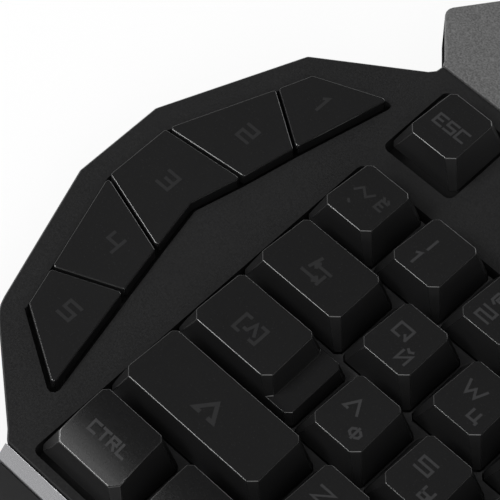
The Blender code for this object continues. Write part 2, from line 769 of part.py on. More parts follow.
def make_pads(model):
    """Four round rubber pads, sunk into the wrist rest and the rear of the case."""
    names = "front_left", "front_right", "rear_left", "rear_right"
    for name, (x, y) in zip(names, front_pads() + rear_pads()):
        pad = disc(0, 0, PAD_RADIUS, 0, STAND + PAD_SINK - FIT, PAD_SIDES)
        model.solid(f"rubber_pad_{name}", [pad], model.rubber, model.base, (x, y, 0))


def make_guide_plate(model, keys, centres):
    """Plate under the case top with a square guide for each plunger that moves."""
    plate = model.solid("guide_plate", [prism(sheet_outline(WALL + FIT), PLATE_UNDER, PLATE_TOP)], model.cap)
    sunk = PLATE_TOP - GUIDE_PLATE / 2
    barrels = [block(*plunger_at(place, PLUNGER_SLIP + GUIDE_WALL), GUIDE_FOOT, sunk) for place in centres]
    bores = [block(*plunger_at(place, PLUNGER_SLIP), GUIDE_FOOT - OVERRUN, PLATE_TOP + OVERRUN) for place in centres]
    model.add(plate, "barrels", barrels)
    model.cut(plate, "bores", bores)
    model.add(plate, "fixed_caps", [fixed_cap(key) for key in keys if key.name not in MOVING_KEYS])


def make_sheets(model, centres):
    """Dome mat, membrane and steel backing plate, stacked on the ribs of the lower case."""
    outline = sheet_outline(WALL + SHEET_BORDER)
    mat = model.solid("dome_mat", [prism(outline, SHEET_UNDER, SHEET_TOP)], model.silicone)
    domes = []
    sunk = SHEET_TOP - DOME_SHEET / 2
    for place in centres:
        ends = (place.x, place.y, sunk), (place.x, place.y, DOME_TOP)
        domes.append(cone(*ends, DOME_FOOT_RADIUS, DOME_TOP_RADIUS, DOME_SIDES))
    model.add(mat, "domes", domes)
    model.solid("membrane", [prism(outline, MEMBRANE_TOP - MEMBRANE, MEMBRANE_TOP)], model.film)
    model.solid("backing_plate", [prism(outline, BACKING_UNDER, BACKING_TOP)], model.steel)


def make_hood(model):
    """Grey panel over the rear of the case, with a slot for the lock lights."""
    body = chamfered(prism(case_outline(), -HOOD_SEAT + FIT, HOOD_RISE), HOOD_RISE)
    hood = model.solid("hood_panel", [body], model.hood)
    sides = -BULGE_REACH - OVERRUN, GRID_RIGHT + FLANK_REACH + OVERRUN
    model.cut(hood, "deck", [block(*sides, FRONT - OVERRUN, HOOD_FRONT + FIT, -HOOD_SEAT - OVERRUN, OVERRUN)])
    x, y = GRID_RIGHT - LENS_RIGHT - LENS_LENGTH / 2, HOOD_FRONT + HOOD_DEPTH / 2
    half_length, half_width = LENS_LENGTH / 2, LENS_WIDTH / 2
    slot = offset(rectangle(x - half_length, x + half_length, y - half_width, y + half_width), FIT)
    slot = rounded(slot, [LENS_CORNER + FIT] * len(slot))
    model.cut(hood, "light_slot", [prism(slot, -HOOD_SEAT - OVERRUN, HOOD_RISE + OVERRUN)])
    lens = rectangle(-half_length, half_length, -half_width, half_width)
    lens = prism(rounded(lens, [LENS_CORNER] * len(lens)), -HOOD_SEAT + FIT, HOOD_RISE)
    model.solid("lock_light_lens", [lens], model.clear, origin=(x, y, 0))


def make_trim(model):
    """Silver bar along the front edge, with its upper front edge cut back."""
    profile = [
        (TRIM_REAR, 0),
        (TRIM_FRONT, -TRIM_CHAMFER),
        (TRIM_FRONT, -TRIM_HEIGHT),
        (TRIM_REAR, -TRIM_HEIGHT),
    ]
    model.solid("front_trim", [swept(profile, *front_ends())], model.silver)


def front_ends():
    return bulge(BULGE_SHARES[0]).x, flank(FLANK_SHARES[0]).x


def wrist_top(share):
    """Height of the wrist rest's upper surface at a share of its depth."""
    depth, drop = WRIST_PROFILE_SHARES[0]
    for next_depth, next_drop in WRIST_PROFILE_SHARES[1:]:
        if share <= next_depth:
            drop += (next_drop - drop) * (share - depth) / (next_depth - depth)
            break
        depth, drop = next_depth, next_drop
    return -TRIM_CHAMFER - FIT - drop * WRIST_DROP


def make_wrist_rest(model):
    """Palm support in front of the trim, hollow below between ribs."""
    left, right = front_ends()
    depths = [depth for depth, drop in WRIST_PROFILE_SHARES]
    profile = [(WRIST_REAR - depth * WRIST_DEPTH, wrist_top(depth)) for depth in depths]
    profile += [(WRIST_FRONT, base_height(WRIST_FRONT)), (TRIM_REAR, base_height(TRIM_REAR))]
    profile += [(TRIM_REAR, -TRIM_HEIGHT - FIT), (WRIST_REAR, -TRIM_HEIGHT - FIT)]
    body = swept(profile, left - WRIST_FLARE - OVERRUN, right + WRIST_FLARE + OVERRUN)
    rest = model.solid("wrist_rest", [body], model.shell)
    side = [(flare * WRIST_FLARE, WRIST_REAR - depth * (WRIST_DEPTH + FIT)) for flare, depth in WRIST_SIDE_SHARES]
    side.insert(0, (0, TRIM_REAR + OVERRUN))
    outline = [Vector((left - flare, y)) for flare, y in side]
    outline += [Vector((right + flare, y)) for flare, y in reversed(side)]
    low = floor_height(WRIST_REAR) - OVERRUN
    model.combine(rest, "INTERSECT", "plan", [prism(outline, low, OVERRUN)])
    front_share = 1 - WRIST_NOSE / WRIST_DEPTH
    steps = [WRIST_WALL / WRIST_DEPTH] + [depth for depth in depths if 0 < depth < front_share] + [front_share]
    arch = [(WRIST_REAR - depth * WRIST_DEPTH, wrist_top(depth) - WRIST_WALL) for depth in steps]
    arch += [(arch[-1][0], low), (arch[0][0], low)]
    width = (right - left) / WRIST_CHAMBERS
    starts = [left + index * width + WRIST_WALL / 2 for index in range(WRIST_CHAMBERS)]
    model.cut(rest, "chambers", [swept(arch, start, start + width - WRIST_WALL) for start in starts])
    add_pad_seats(model, rest, front_pads())


def make_controller_board(model):
    """Circuit board on the ribs under the hood, with its chips and the cable's connector."""
    front, rear = HOOD_FRONT + BOARD_MARGIN, REAR - WALL - BASE_TAPER - BOARD_MARGIN
    left = CABLE_LEFT - BOARD_REACH
    low = RIB_TOP + FIT
    high = low + BOARD_THICKNESS
    sides = left, left + BOARD_LENGTH, front, rear
    board = model.solid("controller_board", [block(*sides, low, high)], model.circuit)
    sunk, y = high - BOARD_THICKNESS / 2, (front + rear) / 2
    connector_left, connector_right = CABLE_LEFT - CONNECTOR_LENGTH / 2, CABLE_LEFT + CONNECTOR_LENGTH / 2
    components = [block(connector_left, connector_right, y, y + CHIP_SIZE, sunk, high + CONNECTOR_HEIGHT)]
    half = CHIP_SIZE / 2
    for share in CHIP_SHARES:
        x = left + share * (connector_left - left)
        components.append(block(x - half, x + half, y - half, y + half, sunk, high + CHIP_HEIGHT))
    model.add(board, "components", components)


def make_cable_bush(model):
    """Rubber bush that lines the cable outlet in the rear wall, turned about the outlet's axis."""
    inner, outer = -WALL - FIT, FIT
    profile = [
        (BUSH_BORE_RADIUS, inner - BUSH_FLANGE),
        (BUSH_FLANGE_RADIUS, inner - BUSH_FLANGE),
        (BUSH_FLANGE_RADIUS, inner),
        (BUSH_NECK_RADIUS, inner),
        (BUSH_NECK_RADIUS, outer),
        (BUSH_FLANGE_RADIUS, outer),
        (BUSH_FLANGE_RADIUS, outer + BUSH_FLANGE),
        (BUSH_BORE_RADIUS, outer + BUSH_FLANGE),
    ]
    mesh = bpy.data.meshes.new("cable_bush")
    edges = [(index, (index + 1) % len(profile)) for index in range(len(profile))]
    mesh.from_pydata([(radius, y, 0) for radius, y in profile], edges, [])
    mesh.materials.append(model.rubber)
    bush = bpy.data.objects.new("cable_bush", mesh)
    bush.parent = model.deck
    bush.location = (CABLE_LEFT, REAR, -BUSH_DROP)
    model.parts.objects.link(bush)
    turned = bush.modifiers.new("turned", "SCREW")
    turned.axis = "Y"
    turned.steps = BUSH_SIDES
    turned.render_steps = BUSH_SIDES
    turned.use_normal_flip = True


def centre_footprint(model):
    """Moves the whole model so that the middle of its footprint is the origin."""
    bpy.context.view_layer.update()
    graph = bpy.context.evaluated_depsgraph_get()
    corners = []
    for piece in model.parts.objects:
        solid = piece.evaluated_get(graph)
        corners += [solid.matrix_world @ vertex.co for vertex in solid.data.vertices]
    for axis in (0, 1):
        places = [corner[axis] for corner in corners]
        model.base.location[axis] = -(min(places) + max(places)) / 2


def main():
    clear_scene()
    model = Model()
    keys = key_list()
    macro_edges, macro_well = macro_outlines()
    macro_centres = [middle_of(edge) for edge in macro_edges]
    moving_keys = [key for key in keys if key.name in MOVING_KEYS]
    make_top_case(model, macro_well)
    make_bottom_case(model)
    make_hood(model)
    make_trim(model)
    make_wrist_rest(model)
    make_guide_plate(model, keys, moving_keys + macro_centres)
    make_sheets(model, keys + macro_centres)
    make_controller_board(model)
    make_cable_bush(model)
    make_flip_feet(model)
    make_pads(model)
    make_keys(model, keys)
    make_macro_keys(model, macro_edges)
    centre_footprint(model)


main()
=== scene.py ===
import json
import math
from collections import namedtuple

import bmesh
import bpy
from mathutils import Euler, Matrix, Vector


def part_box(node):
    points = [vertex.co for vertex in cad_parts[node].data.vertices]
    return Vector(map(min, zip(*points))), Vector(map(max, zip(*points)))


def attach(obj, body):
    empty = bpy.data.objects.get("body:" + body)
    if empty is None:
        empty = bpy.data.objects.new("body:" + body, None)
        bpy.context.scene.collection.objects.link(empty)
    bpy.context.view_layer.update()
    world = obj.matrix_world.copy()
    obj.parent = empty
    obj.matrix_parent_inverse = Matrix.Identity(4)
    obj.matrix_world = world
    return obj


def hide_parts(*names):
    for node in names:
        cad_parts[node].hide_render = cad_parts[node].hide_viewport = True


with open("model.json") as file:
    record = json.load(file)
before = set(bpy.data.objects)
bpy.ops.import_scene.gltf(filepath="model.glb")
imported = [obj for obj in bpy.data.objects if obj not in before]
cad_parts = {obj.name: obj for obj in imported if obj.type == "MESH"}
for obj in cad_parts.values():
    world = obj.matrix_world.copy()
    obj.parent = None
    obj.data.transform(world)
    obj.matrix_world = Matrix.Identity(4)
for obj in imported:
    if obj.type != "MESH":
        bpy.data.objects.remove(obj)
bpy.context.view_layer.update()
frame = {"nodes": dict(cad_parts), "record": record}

# The deck's own frame, as the solids have it: x along the rows from the left edge of the key grid,
# y from the number row to the rear, z above the case top. Sizes are in metres
PITCH = 0.01905
TILT = math.radians(4)
PAD_Y = -0.139525
CASE_HEIGHT = 0.028101
KEY_RISE = 0.0075
MACRO_RISE = 0.0020
PLATE_TOP = -0.0051

# Camera fitted to the key grid of the photograph, in the deck's frame
CAMERA_PLACE = Vector((0.195321, -0.217072, 0.456911))
CAMERA_TURN = (math.radians(31.2545), math.radians(0.3660), math.radians(44.8012))
CAMERA_LENS = 184.309
CAMERA_CLIP = (0.01, 20)
SENSOR = 36.0

# Rows of keys from the rear to the front: place in pitches, rise, slope, and the keys, with their
# widths and depths in pitches
ROWS = (
    (
        1.367,
        -0.0008,
        -0.06,
        "esc gap f1 f2 f3 f4 gap:0.5 f5 f6 f7 f8 gap:0.5 f9 f10 f11 f12 gap:0.25 print scroll pause",
    ),
    (
        0,
        0,
        -0.10,
        "grave 1 2 3 4 5 6 7 8 9 0 minus equals backspace:2 gap:0.25 insert home page_up"
        " gap:0.25 num_lock divide multiply subtract",
    ),
    (
        -1,
        0,
        -0.07,
        "tab:1.5 q w e r t y u i o p bracket_left bracket_right backslash:1.5 gap:0.25 delete end page_down"
        " gap:0.25 pad_7 pad_8 pad_9 pad_plus:1:2",
    ),
    (-2, 0, 0, "caps_lock:1.75 a s d f g h j k l semicolon quote enter:2.25 gap:3.5 pad_4 pad_5 pad_6"),
    (
        -3,
        0.0009,
        0,
        "shift_left:2.25 z x c v b n m comma period slash shift_right:2.75 gap:1.25 up"
        " gap:1.25 pad_1 pad_2 pad_3 pad_enter:1:2",
    ),
    (
        -4,
        0,
        0.18,
        "ctrl_left:1.25 meta_left:1.25 alt_left:1.25 space:6.25 alt_right:1.25 fn:1.25 menu:1.25"
        " ctrl_right:1.25 gap:0.25 left down right gap:0.25 pad_0:2 pad_dot",
    ),
)
Key = namedtuple("Key", "name x y width depth rise slope")

# Keycap edges, set in from the edges of the key's cell
BASE_SIDE = 0.0003
BASE_END = 0.00105
BASE_CORNER = 0.0011
TOP_FRONT = 0.0029
TOP_BACK = 0.0018

# The tops of the front row are crowned from front to back. The limit tells them from the other tops
FRONT_SLOPE = ROWS[-1][2]
FRONT_ROW = ROWS[-1][0]
FRONT_LIMIT_SHARE = 0.4
FRONT_LIMIT = (FRONT_ROW + FRONT_LIMIT_SHARE) * PITCH
CROWN = 0.00050
CROWN_CUTS = 8

# Wells: how far the outer walls of the macro well move in, and the limits of that well and of all wells
WELL_SHIFT = 0.00045
WELL_RIGHT = -0.0010
WELL_FRONT = -0.0865
WELL_DEPTH = -0.0030
KEY_FIELD_RIGHT = 0.436
PLATE_BAND = 0.0003

# Parts of a unit normal that tell walls, tops and level floors
STEEP = 0.3
SKIRT_STEEP = 0.6
TOP_LEVEL = 0.9
FLOOR_LEVEL = 0.99
SAME_WAY = 0.9999

# Rounding of the edges: widths, steps, and how the copies of the solids are cleaned before it
KEY_EDGE = 0.00022
MACRO_EDGE = 0.00034
HOOD_EDGE = 0.0005
KEY_STEPS = 3
CASE_STEPS = 2
MERGE = 0.000002
FLAT_ANGLE = math.radians(0.6)
SHARP_ANGLE = math.radians(25)
FACE_WEIGHT = 80

# Web between the keys: its height, and its blocks of left, right, front and rear in pitches
WEB_TOP = -0.0008
WEB_CLEARANCE = 0.0001
WEB_INSET = 0.0012
BLOCKS = (
    (0, 15, -4.5, 0.5),
    (15.25, 18.25, -1.5, 0.5),
    (18.5, 22.5, -4.5, 0.5),
    (15.25, 18.25, -4.5, -3.5),
)

# Printed strokes: widths, height above the key, the part that is sunk in it, and the sharpest mitre
STROKE = 0.00058
SIGN_STROKE = 0.00072
BOLD_STROKE = 0.00092
STROKE_LIFT = 0.00002
STROKE_STEP = 0.000002
STROKE_SINK = 0.00006
STROKE_LEVELS = 9
MITRE_SHARE = 0.45

# Letters are drawn with strokes between the points of a grid, four steps wide and six high
LETTER_GRID = (4, 6)
GLYPHS = {
    "A": "10002640",
    "B": "00063645443303 3342413000",
    "C": "46060040",
    "D": "00063645413000",
    "E": "46060040 0333",
    "F": "460600 0333",
    "G": "460600404323",
    "H": "0006 4640 0343",
    "I": "2026",
    "J": "4641301001",
    "K": "0006 460340",
    "L": "060040",
    "M": "0006234640",
    "N": "00064046",
    "O": "0006464000",
    "P": "0006464303",
    "Q": "2000064640 3240",
    "R": "0006464303 2340",
    "S": "460603434000",
    "T": "0646 2620",
    "U": "06004046",
    "V": "062046",
    "W": "0610243046",
    "X": "0640 0046",
    "Y": "062346 2320",
    "Z": "06460040",
    "0": "0006464000",
    "1": "152620",
    "2": "064643030040",
    "3": "06464000 1343",
    "4": "060343 4640",
    "5": "460603434000",
    "6": "460600404303",
    "7": "064620",
    "8": "0006464000 0343",
    "9": "430306464000",
    "~": "02163246",
    "`": "1524",
    "!": "2622 2120",
    "@": "3234141242454616050110",
    "#": "1016 3036 0242 0444",
    "$": "460603434000 2620",
    "%": "0046 0616 3040",
    "^": "042644",
    "&": "400416263502102042",
    "*": "2622 0543 0345",
    "(": "36252130",
    ")": "16252110",
    "-": "0343",
    "_": "0040",
    "+": "0343 2521",
    "=": "0444 0242",
    "[": "36161030",
    "]": "16363010",
    "{": "36252413222130",
    "}": "16252433222110",
    ";": "2524 2210",
    ":": "2524 2221",
    "'": "2624",
    '"': "1614 3634",
    ",": "2210",
    "<": "460340",
    ">": "064300",
    ".": "2021",
    "/": "0046",
    "\\": "0640",
    "|": "2026",
    "?": "050646432322 2120",
    "Ё": "46060040 0333 0817 3847",
    "Б": "460600404303",
    "Г": "000646",
    "Д": "00014140 11163631",
    "Ж": "0640 0046 2620",
    "З": "06464000 1343",
    "И": "06004640",
    "Й": "06004640 182738",
    "Л": "0010164640",
    "П": "00064640",
    "У": "060343 464000",
    "Ф": "15040211 35444231 2620",
    "Ц": "06014140 3631",
    "Ч": "060343 4640",
    "Ш": "06004046 2026",
    "Щ": "06014140 2126 3136",
    "Ъ": "061610404313",
    "Ы": "0600303303 4640",
    "Ь": "0600404303",
    "Э": "06464000 1343",
    "Ю": "0006 0313 1016464010",
    "Я": "4046060343 2300",
}
GLYPHS.update(zip("АВЕКМНОРСТХ", (GLYPHS[twin] for twin in "ABEKMHOPCTX")))

# Second letters of the keys, in the order of the rows
SECOND_LETTERS = dict(zip("qwertyuiopasdfghjklzxcvbnm", "ЙЦУКЕНГШЩЗФЫВАПРОЛДЯЧСМИТЬ"))
SECOND_LETTERS.update(
    bracket_left="Х", bracket_right="Ъ", semicolon="Ж", quote="Э", comma="Б", period="Ю", grave="Ё"
)
SYMBOL_PAIRS = dict(
    zip(
        "grave 1 2 3 4 5 6 7 8 9 0 minus equals bracket_left bracket_right semicolon quote"
        " comma period slash backslash".split(),
        "~` !1 @2 #3 $4 %5 ^6 &7 *8 (9 )0 _- += {[ }] :; \"' <, >. ?/ |\\".split(),
    )
)
WORDS = dict(
    esc="ESC", print="PRT", scroll="SLK", pause="BRK", insert="INS", home="HOME", page_up="PGUP",
    delete="DEL", end="END", page_down="PGDN", num_lock="NUM", ctrl_left="CTRL", ctrl_right="CTRL",
    alt_left="ALT", alt_right="ALT", fn="FN", pad_enter="ENT",
)
PAD_SIGNS = dict(divide="/", multiply="*", subtract="-", pad_plus="+", pad_dot=".")

# Signs on the keys, drawn on a grid of nine steps each way: left, front, width and height about the key
SIGN_GRID = (9, 9)
SHIFT_SIGN = ("2000599070", -0.0023, -0.0022, 0.0052, 0.0037)
ARROW_BOX = (-0.0020, -0.0020, 0.0040, 0.0040)
SIGNS = {
    "tab": ("1429 2696 372635 0171 8084 627160", -0.0024, -0.0028, 0.0052, 0.0052),
    "caps_lock": ("20000929 70909979 33435873", -0.0054, -0.0026, 0.0060, 0.0040),
    "shift_left": SHIFT_SIGN,
    "shift_right": SHIFT_SIGN,
    "backspace": ("0595 370533", -0.0028, -0.0022, 0.0056, 0.0042),
    "enter": ("999404 260422", -0.0028, -0.0022, 0.0056, 0.0042),
    "menu": ("0009999000 2474 2777", *ARROW_BOX),
    "up": ("5059 265986", *ARROW_BOX),
    "down": ("5950 235083", *ARROW_BOX),
    "left": ("9505 370533", *ARROW_BOX),
    "right": ("0595 679563", *ARROW_BOX),
}

# Places of the letters about the middle of their key
MAIN_LETTER = (-0.0033, 0.0002, 0.0035, 0.0029)
WIDE_LETTER = (-0.0035, 0.0002, 0.0044, 0.0029)
SECOND_LETTER = (0.0015, -0.0041, 0.0024, 0.0025)
SIDE_LETTER = (0.0025, -0.0001, 0.0016, 0.0024)
TILDE = (-0.0034, -0.0004, 0.0040, 0.0025)
TICK = (-0.0029, -0.0042, 0.0017, 0.0020)
LOWER_SYMBOL = (-0.0035, -0.0044, 0.0034, 0.0030)
WORD_MIDDLE = (0.0003, 0.0001)
WORD_HEIGHTS = {2: 0.0027, 3: 0.0027, 4: 0.0022}
WORD_LETTER_WIDTHS = {2: 0.0022, 3: 0.0021, 4: 0.0017}
WORD_GAP = 0.00095

# Left front corners of the numbers on the macro keys, in the deck's frame
MACRO_NUMBERS = (
    (-0.0175, 0.0120),
    (-0.0237, -0.0047),
    (-0.0273, -0.0249),
    (-0.0245, -0.0437),
    (-0.0190, -0.0613),
)
MACRO_NUMBER_SIZE = (0.0031, 0.0037)

# Plastics: the middle of a noise, its details, the scale of the slow one, the swing of gloss, the relief
NOISE_MIDDLE = (0.3, 0.7)
NOISE_ROUGHNESS = 0.55
FINE_DETAIL = 2.0
SLOW_DETAIL = 4.0
SLOW_SCALE = 35.0
GLOSS_SWING = 0.04
RELIEF_DEPTH = 0.0002

# Lamps: name, place in the deck's frame, width, height and power. They look at one point
LAMP_TARGET = (0.02, -0.03, 0)
LAMPS = (
    ("softbox", (-0.60, -0.69, 0.94), 0.68, 0.27, 8.6),
    ("panel", (-0.63, -0.45, 1.13), 0.40, 0.40, 1.8),
    ("fill", (0.55, -0.45, 0.75), 0.60, 0.60, 2.4),
    ("rim", (-0.15, 1.05, 0.42), 0.80, 0.22, 2.0),
)

# Studio: strength of the world as light and as background, and the sheets of ceiling and floor
WORLD_LIGHT = 0.50
WORLD_SEEN = 1.0
CEILING_REACH = 7.0
CEILING_HEIGHT = 2.4
CEILING_TONE = 0.04
FLOOR_REACH = 6.0
FLOOR_TONE = 0.9
FLOOR_GLOW_SHARE = 0.8
SHEET_ROUGHNESS = 0.9


def pad_middle():
    low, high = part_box("rubber_pad_front_left")
    return (Vector(low) + Vector(high)) / 2


DECK_ORIGIN = (pad_middle().x, pad_middle().y - PAD_Y, CASE_HEIGHT)
DECK = Matrix.Translation(DECK_ORIGIN) @ Matrix.Rotation(TILT, 4, "X")
DECK_TURN = DECK.to_3x3()
FROM_DECK = DECK.inverted()


def link(piece):
    bpy.context.scene.collection.objects.link(piece)
    return piece


def noise(nodes, links, space, scale, detail):
    texture = nodes.new("ShaderNodeTexNoise")
    texture.inputs["Scale"].default_value = scale
    texture.inputs["Detail"].default_value = detail
    texture.inputs["Roughness"].default_value = NOISE_ROUGHNESS
    links.new(space.outputs["Object"], texture.inputs["Vector"])
    return texture


def spread(nodes, links, source, low, high):
    """Maps a noise value onto a range."""
    ranged = nodes.new("ShaderNodeMapRange")
    ranged.inputs["From Min"].default_value = NOISE_MIDDLE[0]
    ranged.inputs["From Max"].default_value = NOISE_MIDDLE[1]
    ranged.inputs["To Min"].default_value = low
    ranged.inputs["To Max"].default_value = high
    links.new(source.outputs["Fac"], ranged.inputs["Value"])
    return ranged


def plastic(name, colour, roughness, grain, bump, metallic=0.0, mottle=0.10, specular=0.5, fleck=0.06):
    """Moulded plastic: a fine grain in bump, gloss and tone, and slow changes of tone."""
    material = bpy.data.materials.new(name)
    material.use_nodes = True
    nodes, links = material.node_tree.nodes, material.node_tree.links
    shader = nodes["Principled BSDF"]
    space = nodes.new("ShaderNodeTexCoord")
    fine = noise(nodes, links, space, grain, FINE_DETAIL)
    slow = noise(nodes, links, space, SLOW_SCALE, SLOW_DETAIL)
    tone = nodes.new("ShaderNodeMix")
    tone.data_type = "RGBA"
    tone.inputs["A"].default_value = (*[channel * (1 - mottle) for channel in colour], 1)
    tone.inputs["B"].default_value = (*[channel * (1 + mottle) for channel in colour], 1)
    links.new(slow.outputs["Fac"], tone.inputs["Factor"])
    flecks = nodes.new("ShaderNodeMix")
    flecks.data_type = "RGBA"
    flecks.blend_type = "MULTIPLY"
    flecks.inputs["Factor"].default_value = 1
    links.new(tone.outputs["Result"], flecks.inputs["A"])
    swing = spread(nodes, links, fine, 1 - fleck, 1 + fleck)
    links.new(swing.outputs["Result"], flecks.inputs["B"])
    links.new(flecks.outputs["Result"], shader.inputs["Base Color"])
    gloss = spread(nodes, links, fine, roughness - GLOSS_SWING, roughness + GLOSS_SWING)
    links.new(gloss.outputs["Result"], shader.inputs["Roughness"])
    relief = nodes.new("ShaderNodeBump")
    relief.inputs["Strength"].default_value = bump
    relief.inputs["Distance"].default_value = RELIEF_DEPTH
    links.new(fine.outputs["Fac"], relief.inputs["Height"])
    links.new(relief.outputs["Normal"], shader.inputs["Normal"])
    shader.inputs["Metallic"].default_value = metallic
    shader.inputs["Specular IOR Level"].default_value = specular
    return material


SHELL_TONE = (0.0150, 0.0150, 0.0153)
SHELL = plastic("case_plastic", SHELL_TONE, 0.36, 2600.0, 0.10, mottle=0.16, specular=0.35, fleck=0.19)
# Upright walls of the case: rougher, and darker than the case plastic with no reflection at all. The darker
# tone is painted shade
SHADED_SIDE = plastic("side_plastic", (0.0120, 0.0120, 0.0123), 0.60, 3200.0, 0.12, specular=0.0)
# Inner walls of the wells and the plate floor in them: a lighter copy of the case plastic, painted light
# that lifts their shade
LIT_WELL = plastic("well_plastic", (0.0180, 0.0180, 0.0183), 0.60, 3200.0, 0.12, specular=0.08)
CAP = plastic("keycap_plastic", (0.0099, 0.0099, 0.0101), 0.20, 2400.0, 0.03, specular=0.95)
# Tops of the keys: a lighter copy of the key plastic with less gloss. The lighter tone is painted light
LIT_TOP = plastic("keycap_top_plastic", (0.0113, 0.0113, 0.0115), 0.24, 2400.0, 0.03, specular=0.25)
# Tops of the front row: a darker copy of the key plastic with more gloss. The darker tone is painted shade
SHADED_FRONT_TOP = plastic("front_top_plastic", (0.0080, 0.0080, 0.0082), 0.24, 2400.0, 0.03, specular=0.31)
# Tops of the macro keys: a still lighter copy of the key plastic, painted light
LIT_MACRO_TOP = plastic("macro_top_plastic", (0.0126, 0.0126, 0.0128), 0.24, 2400.0, 0.03, specular=0.25)
SKIRT = plastic("keycap_side_plastic", (0.0099, 0.0099, 0.0101), 0.38, 2400.0, 0.01, specular=0.26)
PLATE = plastic("plate_plastic", (0.026, 0.026, 0.027), 0.50, 2400.0, 0.05)
HOOD = plastic("hood_paint", (0.110, 0.110, 0.110), 0.42, 2300.0, 0.40, specular=0.25, fleck=0.34)
SILVER = plastic("silver_paint", (0.33, 0.33, 0.34), 0.28, 5200.0, 0.03, 0.55)
REST = plastic("rest_plastic", (0.0140, 0.0140, 0.0143), 0.50, 3000.0, 0.14, specular=0.35)
RUBBER = plastic("pad_rubber", (0.020, 0.020, 0.020), 0.75, 1800.0, 0.20)
LENS = plastic("lens_plastic", (0.020, 0.020, 0.021), 0.12, 900.0, 0.01)
SILICONE = plastic("dome_silicone", (0.60, 0.60, 0.58), 0.55, 1500.0, 0.05)
FILM = plastic("circuit_film", (0.42, 0.48, 0.43), 0.25, 1500.0, 0.02)
STEEL = plastic("backing_steel", (0.50, 0.50, 0.50), 0.35, 2500.0, 0.05, 1.0)
BOARD = plastic("board_mask", (0.02, 0.16, 0.06), 0.40, 2000.0, 0.05)
LEGEND = plastic("legend_grey", (0.033, 0.033, 0.034), 0.40, 2600.0, 0.02, specular=0.15)
SIGN = plastic("sign_grey", (0.0225, 0.0225, 0.023), 0.40, 2600.0, 0.02, specular=0.15)
NUMBER = plastic("number_grey", (0.0200, 0.0200, 0.0205), 0.40, 2600.0, 0.02, specular=0.3)

# Pieces of the case: node, material and rounding of its edges
CASE_PIECES = (
    ("top_case", SHELL, 0.0004),
    ("bottom_case", SHELL, 0.0004),
    ("front_trim", SILVER, 0.0002),
    ("wrist_rest", REST, 0.0008),
    ("lock_light_lens", LENS, 0.00015),
    ("cable_bush", RUBBER, 0.0002),
    ("flip_foot_left", SHELL, 0.0003),
    ("flip_foot_right", SHELL, 0.0003),
    ("rubber_pad_front_left", RUBBER, 0.0003),
    ("rubber_pad_front_right", RUBBER, 0.0003),
    ("rubber_pad_rear_left", RUBBER, 0.0003),
    ("rubber_pad_rear_right", RUBBER, 0.0003),
)
INNER_PIECES = dict(dome_mat=SILICONE, membrane=FILM, backing_plate=STEEL, controller_board=BOARD)


def key_list():
    """Every key of the grid with its centre, size and top."""
    keys = []
    for place, rise, slope, text in ROWS:
        left = 0
        for token in text.split():
            name, width, depth = (token.split(":") + ["1", "1"])[:3]
            width, depth = float(width), float(depth)
            if name != "gap":
                x, y = left + width / 2, place - (depth - 1) / 2
                keys.append(Key(name, x * PITCH, y * PITCH, width * PITCH, depth * PITCH, rise, slope))
            left += width
    return keys


KEYS = key_list()


def crown(y):
    """How much the crown lifts the top of a front-row key at a deck y."""
    front, rear = FRONT_ROW * PITCH - PITCH / 2 + TOP_FRONT, FRONT_ROW * PITCH + PITCH / 2 - TOP_BACK
    share = (y - front) / (rear - front)
    return CROWN * max(0, 1 - (2 * share - 1) ** 2)


def top_height(key, y):
    """Deck height of a key's top at a deck y."""
    height = KEY_RISE + key.rise + key.slope * (y - key.y)
    return height + crown(y) if key.slope == FRONT_SLOPE else height


def crown_tops(work):
    """Crowns every top of the front row in a mesh, which lies flat before."""
    upward = DECK_TURN @ Vector((0, -FRONT_SLOPE, 1)).normalized()
    front, rear = FRONT_ROW * PITCH - PITCH / 2 + TOP_FRONT, FRONT_ROW * PITCH + PITCH / 2 - TOP_BACK

    def tops():
        work.normal_update()
        flat = [face for face in work.faces if face.normal.dot(upward) > SAME_WAY]
        return [face for face in flat if (FROM_DECK @ face.calc_center_median()).z > KEY_RISE / 2]

    for cut in range(1, CROWN_CUTS):
        faces = tops()
        edges = list({edge for face in faces for edge in face.edges})
        points = list({vertex for face in faces for vertex in face.verts})
        place = DECK @ Vector((0, front + (rear - front) * cut / CROWN_CUTS, 0))
        across = DECK_TURN @ Vector((0, 1, 0))
        bmesh.ops.bisect_plane(work, geom=faces + edges + points, plane_co=place, plane_no=across)
    for vertex in {vertex for face in tops() for vertex in face.verts}:
        lift = crown((FROM_DECK @ vertex.co).y)
        vertex.co += DECK_TURN @ Vector((0, 0, lift))


def body_of(node):
    return next(body for body, nodes in frame["record"]["behaviour"]["bodies"].items() if node in nodes)


def narrow_well(work):
    """Moves the outer walls of the macro keys' well towards the keys, in the picture's copy of the case."""
    moves = {}
    for face in work.faces:
        if is_outer_well(FROM_DECK @ face.calc_center_median(), deck_normal(face)):
            for vertex in face.verts:
                moves.setdefault(vertex, []).append(deck_normal(face))
    for vertex, normals in moves.items():
        first, last = normals[0], normals[-1]
        shift = first if len(normals) == 1 else (first + last) / (1 + first.dot(last))
        vertex.co += DECK_TURN @ (shift * WELL_SHIFT)


def deck_normal(face):
    return DECK_TURN.transposed() @ face.normal


def is_well(centre, normal):
    """Tells an inner wall of the wells that looks to the right or to the front."""
    inside = centre.x < KEY_FIELD_RIGHT and centre.y > WELL_FRONT and centre.z > WELL_DEPTH
    return abs(normal.z) < STEEP and normal.x - normal.y > STEEP and inside


def is_outer_well(centre, normal):
    """Tells a wall of the macro keys' well that looks towards the keys from the left or the rear."""
    return is_well(centre, normal) and centre.x < WELL_RIGHT


